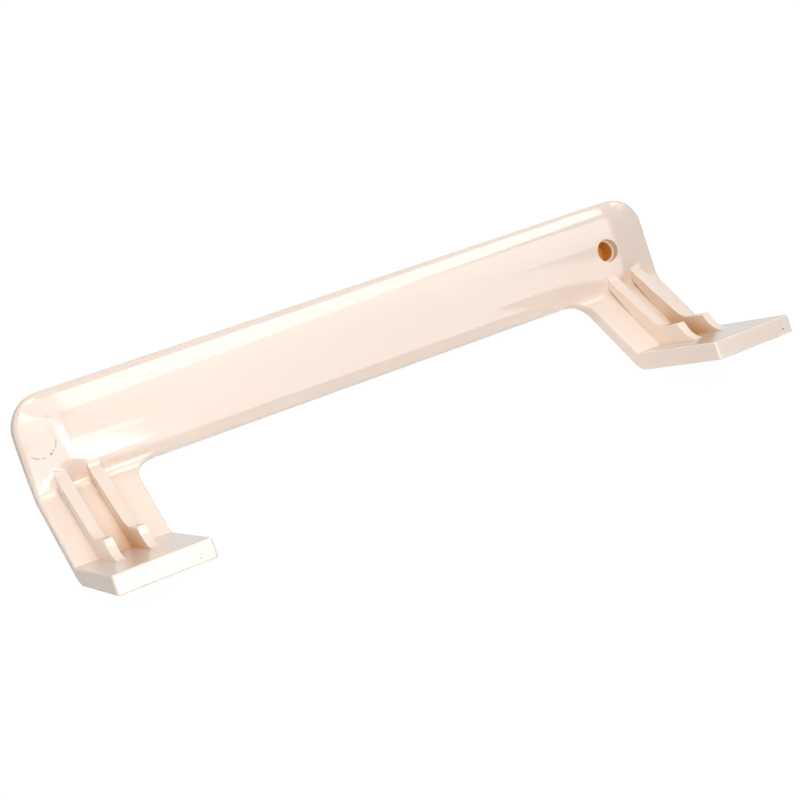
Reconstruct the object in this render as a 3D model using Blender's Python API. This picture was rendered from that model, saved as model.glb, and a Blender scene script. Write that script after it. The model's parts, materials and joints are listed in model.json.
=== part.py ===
"""Refrigerator door handle, a single plastic moulding.

A crowned grip band carries a leg at each end. Each leg leans out of the band at
an angle, ends in a flat foot, and is stiffened by two ribs that rise into a
small horn on the foot. A stepped blind hole enters the band near one end.

The handle is drawn in the frame of its mould: X along the grip, Y from the feet
towards the far edge of the band, Z in the direction in which the feet point.
It is then laid down on the flat outer faces of its two legs, as it comes to
rest on a table. Sizes are in millimetres.
"""
from math import asin, ceil, cos, hypot, pi, radians, sin, sqrt, tan

import bmesh
import bpy
from mathutils import Vector

MM = 0.001

# Grip band
LENGTH = 200.0
BAND_WIDTH = 26.6
CROWN_LEVEL = 2.5
CROWN_HALF_DEPTH = 5.5
CROWN_OVERHANG = 0.7
BAND_BACK_LEVEL = -5.4
BACK_CROWN_RADIUS = 58.0
CORNER_RADIUS = 9.5

# The band falls away towards each end, past a softly rounded ridge
RIDGE_FROM_END = 11.2
RIDGE_HALF_WIDTH = 1.8
END_FALL_ANGLE = radians(14.0)
END_BACK_SHARE = 0.2

# Legs, a little wider at the band than at the tip of the foot
FOOT_WIDTH = 25.5
LEG_WIDTH_AT_BAND = 26.8
LEG_ANGLE = radians(45.0)
LEG_FACE_LEVEL = -0.2
LEG_THICKNESS = 4.2
LEG_SIDE_FILLET = 6.0

# Feet
FOOT_DROP = 17.9
FOOT_THICKNESS = 5.1
FOOT_REACH = 56.1

# Roundings of the bends, each given by how far it reaches from its corner
BEND_BAND_FRONT = 1.1
BEND_BAND_BACK = 1.6
BEND_FOOT_FRONT = 0.5
BEND_FOOT_BACK = 2.9

# Rounded edges of the outline
BAND_FRONT_EDGE = 0.7
BAND_BACK_EDGE = 2.0
LEG_EDGE = 0.5
FOOT_CORNER_RADIUS = 0.65
EDGE_CHANGE_LENGTH = 6.0

# Ribs
RIB_FROM_END = (7.8, 16.7)
RIB_TIP_THICKNESS = 2.4
RIB_DRAFT = radians(1.0)
RIB_HEIGHT_AT_BAND = 4.2
RIB_HEIGHT_AT_HORN = 5.2
RIB_ROOT_DEPTH = 2.0
RIB_EDGE = 0.35
HORN_HEIGHT = 5.4
HORN_TIP_REACH = 29.7
HORN_DIP = 0.1
HORN_FRONT_RADIUS = 8.0
RIB_BEND_LENGTH = 3.8
RIB_START_BLEND = 2.2
RIB_START_DIP = 0.15

# Stepped blind hole in the band, near the end on the +X side
HOLE_FROM_END = 16.0
HOLE_HEIGHT = 12.5
HOLE_MOUTH_DIAMETER = 6.9
HOLE_MOUTH_DEPTH = 2.6
HOLE_DIAMETER = 5.8
HOLE_DEPTH = 8.0
HOLE_OVERRUN = 2.0

# Fineness of the facets
ARC_STEP = radians(11.0)
EDGE_STEPS = 3
CROWN_STEPS = 18
BEND_STEPS = 5
RIDGE_STEPS = 4
HOLE_SEGMENTS = 40
SMALLEST_FACET = 0.01

# Finish
PLASTIC_COLOUR = (0.87, 0.77, 0.67, 1.0)
PLASTIC_ROUGHNESS = 0.25

HALF_LENGTH = LENGTH / 2
BAND_MIDDLE = BAND_WIDTH / 2
CROWN_HALF_WIDTH = BAND_MIDDLE + CROWN_OVERHANG
LEG_INNER_SIDE = HALF_LENGTH - LEG_WIDTH_AT_BAND


def arc_steps(angle):
    return max(2, ceil(abs(angle) / ARC_STEP))


def smooth_step(value, low, high):
    t = min(max((value - low) / (high - low), 0.0), 1.0)
    return t * t * (3 - 2 * t)


# Side profile: the front runs down the band, the leg and the foot's top, and the
# back runs down the band's back, the leg's outer face and the foot's underside.
# Points of the profile are (y, z).

LEG_SLOPE = 1 / tan(LEG_ANGLE)
OUTER_FACE_LEVEL = LEG_FACE_LEVEL - LEG_THICKNESS / sin(LEG_ANGLE)


def inner_face_z(y):
    """Level of the leg's inner face at a height y."""
    return LEG_FACE_LEVEL - y * LEG_SLOPE


def outer_face_z(y):
    """Level of the leg's outer face at a height y."""
    return OUTER_FACE_LEVEL - y * LEG_SLOPE


FOOT_BOTTOM = -FOOT_DROP - FOOT_THICKNESS
FOOT_CORNER_FRONT = (-FOOT_DROP, inner_face_z(-FOOT_DROP))
FOOT_CORNER_BACK = (FOOT_BOTTOM, outer_face_z(FOOT_BOTTOM))

# Places along the unfolded sheet: zero at the bend between band and leg
SHEET_FOOT_BEND = FOOT_DROP / sin(LEG_ANGLE)
SHEET_END = SHEET_FOOT_BEND + FOOT_REACH - FOOT_CORNER_FRONT[1]


def end_fall(x):
    """How far the band's face has fallen away at a place x, past the ridge."""
    beyond = abs(x) - (HALF_LENGTH - RIDGE_FROM_END)
    if beyond <= -RIDGE_HALF_WIDTH:
        return 0.0
    if beyond >= RIDGE_HALF_WIDTH:
        return beyond * tan(END_FALL_ANGLE)
    return (beyond + RIDGE_HALF_WIDTH) ** 2 / (4 * RIDGE_HALF_WIDTH) * tan(END_FALL_ANGLE)


def crown_z(x, y):
    """Level of the band's crowned face."""
    across = min(abs(y - BAND_MIDDLE), BAND_MIDDLE) / CROWN_HALF_WIDTH
    drop = CROWN_HALF_DEPTH * (1 - sqrt(1 - across ** 2))
    near_end = smooth_step(abs(x), HALF_LENGTH - RIDGE_FROM_END, HALF_LENGTH)
    return CROWN_LEVEL - drop * (1 - near_end) - end_fall(x)


def back_z(x, y):
    """Level of the band's back, which is crowned too, though less."""
    across = min(abs(y - BAND_MIDDLE), BAND_MIDDLE)
    rim = sqrt(BACK_CROWN_RADIUS ** 2 - BAND_MIDDLE ** 2)
    level = BAND_BACK_LEVEL + END_BACK_SHARE * end_fall(x)
    return level - sqrt(BACK_CROWN_RADIUS ** 2 - across ** 2) + rim


def band_corner_back(x):
    """Point where the band's back meets the plane of the leg's outer face."""
    level = back_z(x, 0.0)
    return (OUTER_FACE_LEVEL - level) / LEG_SLOPE, level


def fold_height(x):
    """Height at which the crowned face meets the plane of the leg's inner face."""
    y = 0.0
    for _ in range(12):
        y = (LEG_FACE_LEVEL - crown_z(x, y)) / LEG_SLOPE
    return y


def mix(a, b, t):
    return tuple(p + (q - p) * t for p, q in zip(a, b))


def bend(start, corner, end, t):
    """Point on a rounding that leaves start and reaches end along the sides of a corner."""
    return mix(mix(start, corner, t), mix(corner, end, t), t)


def towards(a, b, distance):
    return mix(a, b, distance / hypot(b[0] - a[0], b[1] - a[1]))


def front_profile(x, s):
    """Point of the front face at a place x and a distance s along the sheet."""
    fold = (fold_height(x), inner_face_z(fold_height(x)))
    top = fold[0] + BEND_BAND_FRONT
    if s <= -BEND_BAND_FRONT:
        y = top + (-s - BEND_BAND_FRONT) * (BAND_WIDTH - top) / (BAND_WIDTH - BEND_BAND_FRONT)
        return y, crown_z(x, y)
    after = towards(fold, FOOT_CORNER_FRONT, BEND_BAND_FRONT)
    if s < BEND_BAND_FRONT:
        before = (top, crown_z(x, top))
        return bend(before, fold, after, (s + BEND_BAND_FRONT) / (2 * BEND_BAND_FRONT))
    before = towards(FOOT_CORNER_FRONT, fold, BEND_FOOT_FRONT)
    if s <= SHEET_FOOT_BEND - BEND_FOOT_FRONT:
        run = SHEET_FOOT_BEND - BEND_FOOT_FRONT - BEND_BAND_FRONT
        return mix(after, before, (s - BEND_BAND_FRONT) / run)
    after = (FOOT_CORNER_FRONT[0], FOOT_CORNER_FRONT[1] + BEND_FOOT_FRONT)
    if s < SHEET_FOOT_BEND + BEND_FOOT_FRONT:
        part = (s - SHEET_FOOT_BEND + BEND_FOOT_FRONT) / (2 * BEND_FOOT_FRONT)
        return bend(before, FOOT_CORNER_FRONT, after, part)
    return FOOT_CORNER_FRONT[0], FOOT_CORNER_FRONT[1] + s - SHEET_FOOT_BEND


def back_profile(x, s):
    """Point of the back face at a place x and a distance s along the sheet."""
    corner = band_corner_back(x)
    top = corner[0] + BEND_BAND_BACK
    if s <= -BEND_BAND_BACK:
        run = (BAND_WIDTH - top) / (BAND_WIDTH - BEND_BAND_BACK)
        y = top + (-s - BEND_BAND_BACK) * run
        return y, back_z(x, y)
    after = towards(corner, FOOT_CORNER_BACK, BEND_BAND_BACK)
    if s < BEND_BAND_BACK:
        before = (top, back_z(x, top))
        part = (s + BEND_BAND_BACK) / (2 * BEND_BAND_BACK)
        return bend(before, corner, after, part)
    before = towards(FOOT_CORNER_BACK, corner, BEND_FOOT_BACK)
    if s <= SHEET_FOOT_BEND - BEND_FOOT_BACK:
        run = SHEET_FOOT_BEND - BEND_FOOT_BACK - BEND_BAND_BACK
        return mix(after, before, (s - BEND_BAND_BACK) / run)
    after = (FOOT_BOTTOM, FOOT_CORNER_BACK[1] + BEND_FOOT_BACK)
    if s < SHEET_FOOT_BEND + BEND_FOOT_BACK:
        part = (s - SHEET_FOOT_BEND + BEND_FOOT_BACK) / (2 * BEND_FOOT_BACK)
        return bend(before, FOOT_CORNER_BACK, after, part)
    run = (FOOT_REACH - after[1]) / (SHEET_END - SHEET_FOOT_BEND - BEND_FOOT_BACK)
    return FOOT_BOTTOM, after[1] + (s - SHEET_FOOT_BEND - BEND_FOOT_BACK) * run


# Between the legs the band's lower edge stays square to the band, so the bend
# fades in where the side fillet of each leg begins.
BEND_FADE_END = LEG_INNER_SIDE - LEG_SIDE_FILLET + 1.0
BEND_FADE_START = BEND_FADE_END - 4.0


def sheet_faces(x, s):
    """Front and back points of the sheet at a place x and a distance s along it."""
    front = front_profile(x, s)
    back = back_profile(x, s)
    fade = smooth_step(abs(x), BEND_FADE_START, BEND_FADE_END)
    if fade < 1.0 and s > -max(BEND_BAND_FRONT, BEND_BAND_BACK):
        front = mix((-s, crown_z(x, max(-s, 0.0))), front, fade)
        back = mix((-s, back_z(x, max(-s, 0.0))), back, fade)
    return front, back


# Outline of the unfolded sheet, as points (x, s), starting at the top middle


def arc_points(centre, radius, start, sweep):
    steps = arc_steps(sweep)
    points = []
    for i in range(steps + 1):
        angle = start + sweep * i / steps
        points.append((centre[0] + radius * cos(angle), centre[1] + radius * sin(angle)))
    return points


def half_outline():
    """Outline of the +X half, from the band's top edge round the leg to its lower edge."""
    end = HALF_LENGTH
    top = -BAND_WIDTH
    side = LEG_INNER_SIDE
    points = arc_points((end - CORNER_RADIUS, top + CORNER_RADIUS), CORNER_RADIUS, -pi / 2, pi / 2)
    foot = FOOT_CORNER_RADIUS
    points += arc_points((end - foot, SHEET_END - foot), foot, 0.0, pi / 2)
    points += arc_points((end - FOOT_WIDTH + foot, SHEET_END - foot), foot, pi / 2, pi / 2)
    fillet = LEG_SIDE_FILLET
    points += arc_points((side - fillet, fillet), fillet, 0.0, -pi / 2)
    return points


def outline():
    right = half_outline()
    left = [(-x, s) for x, s in reversed(right)]
    return right + left


def outline_normals(points):
    """Unit vectors that point into the sheet at each point of the outline."""
    normals = []
    count = len(points)
    for i, point in enumerate(points):
        before = Vector(point) - Vector(points[i - 1])
        after = Vector(points[(i + 1) % count]) - Vector(point)
        along = before.normalized() + after.normalized()
        inward = Vector((-along.y, along.x)).normalized()
        normals.append(inward / max(inward.dot(Vector((-after.y, after.x)).normalized()), 0.5))
    return normals


def edge_sizes(s):
    """Radii of the front and back edges at a distance s along the sheet."""
    leg_share = smooth_step(s, 0.0, EDGE_CHANGE_LENGTH)
    front = BAND_FRONT_EDGE + (LEG_EDGE - BAND_FRONT_EDGE) * leg_share
    back = BAND_BACK_EDGE + (LEG_EDGE - BAND_BACK_EDGE) * leg_share
    return front, back


# In the flat sheet the third coordinate is the distance in from the back face,
# or FLAT_DEPTH less the distance in from the front face. Any great depth will do.
FLAT_DEPTH = LENGTH


def flat_rows():
    """Rows of points from the back face, round the edge, to the front face."""
    points = outline()
    normals = outline_normals(points)
    rows = []
    for side in ("back", "front"):
        for k in range(EDGE_STEPS + 1):
            turn = (pi / 2) * k / EDGE_STEPS
            if side == "front":
                turn = pi / 2 - turn
            row = []
            for point, normal in zip(points, normals):
                front_edge, back_edge = edge_sizes(point[1])
                radius = back_edge if side == "back" else front_edge
                inset = Vector(point) + normal * radius * (1 - sin(turn))
                depth = radius * (1 - cos(turn))
                level = depth if side == "back" else FLAT_DEPTH - depth
                row.append((inset.x, inset.y, level))
            rows.append(row)
    return rows


def cutting_places():
    """Places of the lines that divide the flat sheet into facets."""
    ridge = HALF_LENGTH - RIDGE_FROM_END
    across = [0.0]
    for i in range(RIDGE_STEPS + 1):
        across.append(ridge + RIDGE_HALF_WIDTH * (2 * i / RIDGE_STEPS - 1))
        across.append(BEND_FADE_START + (BEND_FADE_END - BEND_FADE_START) * i / RIDGE_STEPS)
    along = [-BAND_WIDTH * i / CROWN_STEPS for i in range(1, CROWN_STEPS)]
    bends = ((0.0, BEND_BAND_FRONT), (0.0, BEND_BAND_BACK),
             (SHEET_FOOT_BEND, BEND_FOOT_FRONT), (SHEET_FOOT_BEND, BEND_FOOT_BACK))
    for middle, reach in bends:
        along += [middle + reach * (2 * i / BEND_STEPS - 1) for i in range(BEND_STEPS + 1)]
    return across, along


def cut(bm, place, direction):
    geometry = bm.verts[:] + bm.edges[:] + bm.faces[:]
    bmesh.ops.bisect_plane(bm, geom=geometry, dist=1e-4, plane_co=place, plane_no=direction)


def fold_sheet(bm):
    """Moves each point of the flat sheet to its place on the folded handle."""
    for vertex in bm.verts:
        x, s, level = vertex.co
        front, back = sheet_faces(x, s)
        front = Vector((x, front[0], front[1]))
        back = Vector((x, back[0], back[1]))
        inwards = (front - back).normalized()
        if level < FLAT_DEPTH / 2:
            vertex.co = back + inwards * level
        else:
            vertex.co = front - inwards * (FLAT_DEPTH - level)


def sheet_mesh():
    """Band, legs and feet as one folded sheet with rounded edges."""
    bm = bmesh.new()
    rows = [[bm.verts.new(p) for p in row] for row in flat_rows()]
    count = len(rows[0])
    bm.faces.new(rows[0])
    bm.faces.new(reversed(rows[-1]))
    for lower, upper in zip(rows, rows[1:]):
        for i in range(count):
            j = (i + 1) % count
            bm.faces.new((lower[i], upper[i], upper[j], lower[j]))
    across, along = cutting_places()
    for x in sorted(set(across + [-x for x in across])):
        cut(bm, (x, 0, 0), (1, 0, 0))
    for s in sorted(along):
        cut(bm, (0, s, 0), (0, 1, 0))
    bmesh.ops.remove_doubles(bm, verts=bm.verts[:], dist=SMALLEST_FACET)
    bmesh.ops.triangulate(bm, faces=[face for face in bm.faces if len(face.verts) > 4])
    fold_sheet(bm)
    return finish_mesh(bm, "handle_sheet")


def finish_mesh(bm, name):
    """Turns the faces outwards, scales to metres and returns a mesh."""
    bmesh.ops.recalc_face_normals(bm, faces=bm.faces[:])
    if bm.calc_volume(signed=True) < 0:
        bmesh.ops.reverse_faces(bm, faces=bm.faces[:])
    bmesh.ops.scale(bm, vec=(MM, MM, MM), verts=bm.verts[:])
    mesh = bpy.data.meshes.new(name)
    bm.to_mesh(mesh)
    bm.free()
    return mesh


def rib_start(x, top_line):
    """Height at which a rib's top line meets the band's face at a place x."""
    y = 0.0
    for _ in range(12):
        y = (crown_z(x, y) - top_line[1]) / top_line[0]
    return y


def rib_profile(x):
    """Side view of the rib at a place x: its top edge, the horn, and a hidden root."""
    horn_y = -FOOT_DROP + HORN_HEIGHT
    dip_y = horn_y - HORN_DIP
    rise = RIB_HEIGHT_AT_BAND / sin(LEG_ANGLE)
    corner = (dip_y, inner_face_z(dip_y) + RIB_HEIGHT_AT_HORN / sin(LEG_ANGLE))
    slope = (corner[1] - LEG_FACE_LEVEL - rise) / dip_y
    meet_y = rib_start(x, (slope, LEG_FACE_LEVEL + rise))
    meet = (meet_y, crown_z(x, meet_y))
    above = meet_y + RIB_START_BLEND
    start = (above, crown_z(x, above) - RIB_START_DIP)
    blend_end = towards(meet, corner, RIB_START_BLEND)
    bend_start = towards(corner, meet, RIB_BEND_LENGTH)
    bend_end = (dip_y, corner[1] + RIB_BEND_LENGTH)
    points = [bend(start, meet, blend_end, i / BEND_STEPS) for i in range(BEND_STEPS + 1)]
    for i in range(BEND_STEPS + 1):
        points.append(bend(bend_start, corner, bend_end, i / BEND_STEPS))
    centre_y = -FOOT_DROP + HORN_FRONT_RADIUS
    start_angle = asin((centre_y - horn_y) / HORN_FRONT_RADIUS)
    centre_z = HORN_TIP_REACH + HORN_FRONT_RADIUS * cos(start_angle)
    steps = arc_steps(pi / 2 - start_angle)
    for i in range(steps + 1):
        angle = start_angle + (pi / 2 - start_angle) * i / steps
        y = centre_y - HORN_FRONT_RADIUS * sin(angle)
        points.append((y, centre_z - HORN_FRONT_RADIUS * cos(angle)))
    root_y = -FOOT_DROP - RIB_ROOT_DEPTH
    points.append((root_y, centre_z))
    points.append((root_y, inner_face_z(-FOOT_DROP)))
    points.append((meet_y - RIB_ROOT_DEPTH, start[1] - RIB_ROOT_DEPTH))
    points.append((above, start[1] - RIB_ROOT_DEPTH))
    return points


def rib_half_thickness(z):
    return RIB_TIP_THICKNESS / 2 + (HORN_TIP_REACH - z) * tan(RIB_DRAFT)


def rib_mesh(centre):
    """A drafted rib with eased edges, centred on a place along the handle."""
    bm = bmesh.new()
    sides = []
    for hand in (-1, 1):
        ring = []
        for y, z in rib_profile(centre):
            ring.append(bm.verts.new((centre + hand * rib_half_thickness(z), y, z)))
        sides.append(ring)
    count = len(sides[0])
    bm.faces.new(sides[0])
    bm.faces.new(reversed(sides[1]))
    for i in range(count):
        j = (i + 1) % count
        bm.faces.new((sides[0][j], sides[0][i], sides[1][i], sides[1][j]))
    side_faces = {face for face in bm.faces if len(face.verts) == count}
    edges = [edge for edge in bm.edges if any(face in side_faces for face in edge.link_faces)]
    bmesh.ops.bevel(bm, geom=edges, offset=RIB_EDGE, segments=2, profile=0.5, affect="EDGES")
    return finish_mesh(bm, "rib")


def hole_mesh():
    """Stepped cutter for the hole, wide at the front and narrow behind."""
    x = HALF_LENGTH - HOLE_FROM_END
    face = crown_z(x, HOLE_HEIGHT)
    mouth = HOLE_MOUTH_DIAMETER / 2
    bore = HOLE_DIAMETER / 2
    levels = (
        (face + HOLE_OVERRUN, mouth),
        (face - HOLE_MOUTH_DEPTH, mouth),
        (face - HOLE_MOUTH_DEPTH, bore),
        (face - HOLE_DEPTH, bore),
    )
    bm = bmesh.new()
    rings = []
    for z, radius in levels:
        ring = []
        for i in range(HOLE_SEGMENTS):
            angle = 2 * pi * i / HOLE_SEGMENTS
            ring.append(bm.verts.new((x + radius * cos(angle), HOLE_HEIGHT + radius * sin(angle), z)))
        rings.append(ring)
    bm.faces.new(rings[0])
    bm.faces.new(reversed(rings[-1]))
    for upper, lower in zip(rings, rings[1:]):
        for i in range(HOLE_SEGMENTS):
            j = (i + 1) % HOLE_SEGMENTS
            bm.faces.new((upper[i], lower[i], lower[j], upper[j]))
    return finish_mesh(bm, "hole")


def plastic():
    material = bpy.data.materials.new("ivory_plastic")
    material.use_nodes = True
    shader = material.node_tree.nodes["Principled BSDF"]
    shader.inputs["Base Color"].default_value = PLASTIC_COLOUR
    shader.inputs["Roughness"].default_value = PLASTIC_ROUGHNESS
    shader.inputs["Metallic"].default_value = 0.0
    return material


def add_object(name, mesh):
    thing = bpy.data.objects.new(name, mesh)
    bpy.context.scene.collection.objects.link(thing)
    return thing


def add_tool(target, name, mesh, operation):
    """Adds or cuts a shape with a Boolean modifier that stays on the target."""
    tool = add_object(name, mesh)
    tool.parent = target
    tool.hide_render = True
    tool.display_type = "WIRE"
    modifier = target.modifiers.new(name, "BOOLEAN")
    modifier.operation = operation
    modifier.object = tool
    modifier.solver = "EXACT"


def lay_down(handle):
    """Lays the handle on its legs' outer faces, centred over the origin."""
    turn = pi / 2 - LEG_ANGLE
    places = []
    for vertex in handle.data.vertices:
        y = vertex.co.y * cos(turn) - vertex.co.z * sin(turn)
        z = vertex.co.y * sin(turn) + vertex.co.z * cos(turn)
        places.append((y, z))
    lowest = min(z for _, z in places)
    middle = (min(y for y, _ in places) + max(y for y, _ in places)) / 2
    handle.rotation_euler = (turn, 0.0, 0.0)
    handle.location = (0.0, -middle, -lowest)


def build():
    for thing in list(bpy.data.objects):
        bpy.data.objects.remove(thing, do_unlink=True)
    handle = add_object("handle", sheet_mesh())
    handle.data.materials.append(plastic())
    number = 0
    for hand in (-1, 1):
        for distance in RIB_FROM_END:
            number += 1
            centre = hand * (HALF_LENGTH - distance)
            add_tool(handle, f"rib_{number}", rib_mesh(centre), "UNION")
    add_tool(handle, "hole", hole_mesh(), "DIFFERENCE")
    handle.data.shade_smooth()
    handle.data.set_sharp_from_angle(angle=radians(30))
    lay_down(handle)


build()
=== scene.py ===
"""Looks of the refrigerator door handle: fine surface, ivory plastic, light and camera.

The fine surface repeats the construction of the part's own source with smaller
facets and fuller roundings. It is drawn in the frame of the handle's mould, in
millimetres: X along the grip, Y from the feet towards the far edge of the band,
Z in the direction in which the feet point. It is then laid down like the part.
"""

import json
from math import asin, ceil, cos, hypot, pi, radians, sin, sqrt, tan

import bmesh
import bpy
from mathutils import Matrix, Vector

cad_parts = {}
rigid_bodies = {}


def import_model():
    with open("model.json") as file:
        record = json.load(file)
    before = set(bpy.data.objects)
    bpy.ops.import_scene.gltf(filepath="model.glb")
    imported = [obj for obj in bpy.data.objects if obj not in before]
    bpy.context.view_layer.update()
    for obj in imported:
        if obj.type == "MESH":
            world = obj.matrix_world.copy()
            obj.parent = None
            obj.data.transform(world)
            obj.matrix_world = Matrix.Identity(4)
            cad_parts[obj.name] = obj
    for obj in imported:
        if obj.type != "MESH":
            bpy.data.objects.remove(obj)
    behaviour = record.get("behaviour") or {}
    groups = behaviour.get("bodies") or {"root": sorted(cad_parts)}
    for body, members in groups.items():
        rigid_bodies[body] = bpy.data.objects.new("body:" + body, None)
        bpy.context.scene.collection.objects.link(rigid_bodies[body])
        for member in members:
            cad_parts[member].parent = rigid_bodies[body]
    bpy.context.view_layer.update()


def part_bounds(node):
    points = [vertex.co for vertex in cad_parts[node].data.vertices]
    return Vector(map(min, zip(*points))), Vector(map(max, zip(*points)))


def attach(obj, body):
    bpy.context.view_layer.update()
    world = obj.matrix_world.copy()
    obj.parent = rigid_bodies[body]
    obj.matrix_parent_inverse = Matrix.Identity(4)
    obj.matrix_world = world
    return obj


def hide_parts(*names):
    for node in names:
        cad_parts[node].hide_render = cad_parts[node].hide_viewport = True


MM = 0.001

# Grip band
LENGTH = 200.0
BAND_WIDTH = 26.6
CROWN_LEVEL = 2.5
CROWN_HALF_DEPTH = 5.5
CROWN_OVERHANG = 0.7
BAND_BACK_LEVEL = -5.4
BACK_CROWN_RADIUS = 58.0
CORNER_RADIUS = 9.5

# The band falls away towards each end, past a softly rounded ridge
RIDGE_FROM_END = 11.2
RIDGE_HALF_WIDTH = 1.8
END_FALL_ANGLE = radians(14.0)
END_BACK_SHARE = 0.2

# Legs, a little wider at the band than at the tip of the foot
FOOT_WIDTH = 25.5
LEG_WIDTH_AT_BAND = 26.8
LEG_ANGLE = radians(45.0)
LEG_FACE_LEVEL = -0.2
LEG_THICKNESS = 4.2
LEG_SIDE_FILLET = 6.0

# Feet
FOOT_DROP = 17.9
FOOT_THICKNESS = 5.1
FOOT_REACH = 56.1

# Roundings of the bends, each given by how far it reaches from its corner
BEND_BAND_FRONT = 2.2
BEND_BAND_BACK = 1.6
BEND_FOOT_FRONT = 0.5
BEND_FOOT_BACK = 2.9

# Rounded edges of the outline
BAND_FRONT_EDGE = 1.0
BAND_BACK_EDGE = 2.0
LEG_EDGE = 0.5
FOOT_CORNER_RADIUS = 0.65
EDGE_CHANGE_LENGTH = 6.0

# Ribs
RIB_FROM_END = (7.8, 16.7)
RIB_TIP_THICKNESS = 2.4
RIB_DRAFT = radians(1.0)
RIB_HEIGHT_AT_BAND = 4.2
RIB_HEIGHT_AT_HORN = 5.2
RIB_ROOT_DEPTH = 2.0
RIB_EDGE = 0.35
RIB_EDGE_STEPS = 4
HORN_HEIGHT = 5.4
HORN_TIP_REACH = 29.7
HORN_DIP = 0.1
HORN_FRONT_RADIUS = 8.0
RIB_BEND_LENGTH = 3.8
RIB_START_BLEND = 2.2
RIB_START_DIP = 0.15

# Stepped blind hole
HOLE_FROM_END = 16.0
HOLE_HEIGHT = 12.5
HOLE_MOUTH_DIAMETER = 6.9
HOLE_MOUTH_DEPTH = 2.6
HOLE_DIAMETER = 5.8
HOLE_DEPTH = 8.0
HOLE_OVERRUN = 2.0

# Fineness of the facets
ARC_STEP = radians(5.0)
EDGE_STEPS = 6
CROWN_STEPS = 54
BEND_STEPS = 10
RIDGE_STEPS = 10
CHEEK_STEPS = 14
HOLE_SEGMENTS = 96
SMALLEST_FACET = 0.01
CUT_TOLERANCE = 0.0001
MITRE_LIMIT = 0.5
MEETING_ROUNDS = 12
SHARP_ANGLE = radians(28)

# Room left between the fine surface and the part's box, in metres
FITTING_ROOM = 0.000001

HALF_LENGTH = LENGTH / 2
BAND_MIDDLE = BAND_WIDTH / 2
CROWN_HALF_WIDTH = BAND_MIDDLE + CROWN_OVERHANG
LEG_INNER_SIDE = HALF_LENGTH - LEG_WIDTH_AT_BAND
HOLE_X = HALF_LENGTH - HOLE_FROM_END

# Camera: place in metres and turn in degrees in the part's frame, lens and sensor in millimetres
CAMERA_PLACE = (-0.17771, -0.26616, 0.33176)
CAMERA_TURN = (44.829, -3.376, -30.078)
CAMERA_LENS = 74.68
CAMERA_SENSOR = 36.0

# Plastic
IVORY = (0.945, 0.797, 0.688, 1.0)
IVORY_PINK = (0.935, 0.780, 0.668, 1.0)
# Painted shade: amber for the hollows between the ribs, and a deeper amber inside the hole
PAINTED_AMBER_SHADE = (0.60, 0.30, 0.05, 1.0)
PAINTED_HOLE_SHADE = (0.76, 0.32, 0.03, 1.0)
DIRT = (0.10, 0.07, 0.06, 1.0)
# Painted shade along the outline, where faces are seen edge-on, standing in for the dark reflection
# there
PAINTED_RIM_SHADE = (0.44, 0.38, 0.35, 1.0)
RIM_SHADE_START = 0.76
RIM_SHADE_END = 1.0
RIM_SHADE_SHARE = 0.9
CLOUD_SIZE = 22.0
MIDDLE_TONES = (0.3, 0.7)
ROUGHNESS_SIZE = 5.0
ROUGHNESS_RANGE = (0.07, 0.11)
PLASTIC_IOR = 1.5
WAVE_SIZE = 7.0
WAVE_HEIGHT = 0.02
GRAIN_SIZE = 0.8
GRAIN_HEIGHT = 0.0008

# Painted amber shade, standing in for the light that bounces in the hollows: full where less than
# DEPTH_DARK of a point's surroundings is open, and none where more than DEPTH_LIGHT is. The reach says
# how far around the point counts, in metres.
DEPTH_REACH = 0.014
DEPTH_SAMPLES = 8
DEPTH_DARK = 0.10
DEPTH_LIGHT = 0.61
DEPTH_SHARE_AT_BAND = 0.3

# Where the painted amber shade fades in or out, in millimetres in the part's frame
CHANNEL_FROM = 84.2
CHANNEL_TO = 91.3
LEG_TO_BAND = (-8.0, 6.0)
ABOVE_FLOOR = (1.5, 3.5)
ABOVE_FOOT = (-9.0, -6.0)
NARROW_BORE_MIDDLE = (84.0, 27.95, 11.0)
NARROW_BORE_REACH = (4.15, 4.55)

# Pin circle in the left cheek, in millimetres in the part's frame, darker along the lower part of its
# edge.
# The darkening's fade is measured in depth from the circle's centre.
CHEEK_CIRCLE = (-94.8, 26.2, 14.9)
CHEEK_CIRCLE_RADIUS = 4.3
CHEEK_DARK_ARC_WIDTH = 0.22
CHEEK_DARK_ARC_FADE = (-2.2, -0.4)
CHEEK_DARK_ARC_GRAIN = 0.9
CHEEK_DARK_ARC_GAPS = (0.36, 0.56)
CHEEK_DARK_ARC_SHARE = 0.75

# Specks of dirt: place and radius in millimetres, and how dark from 0 to 1
SPECKS = (
    (-92.9, 23.2, 12.5, 0.35, 0.8),
    (-70.1, 27.95, 18.5, 0.45, 0.05),
    (-95.7, 20.5, 8.5, 0.6, 0.12),
    (-60.5, 31.5, 20.8, 0.4, 0.25),
    (-78.7, -38.0, 28.7, 0.45, 0.35),
    (96.1, -36.8, 29.9, 0.25, 0.25),
    (97.0, -37.8, 28.9, 0.35, 0.7),
)

# Pin circles on the ends of the feet, in millimetres, then the relief of all pin circles.
# The soft part of a speck starts at DOT_SOFT_FROM of its radius.
FOOT_CIRCLES = (
    (-95.3, -36.9, 29.9),
    (-77.6, -36.3, 30.4),
    (77.0, -36.5, 30.2),
    (95.0, -36.9, 29.9),
)
FOOT_CIRCLE_RADIUS = 1.9
FOOT_CIRCLE_WIDTH = 0.25
FOOT_CIRCLE_SHARE = 0.1
CHEEK_CIRCLE_STEP = 0.012
FOOT_CIRCLE_STEP = 0.03
CIRCLE_SOFTNESS = 0.15
DOT_SOFT_FROM = 0.6

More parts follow.
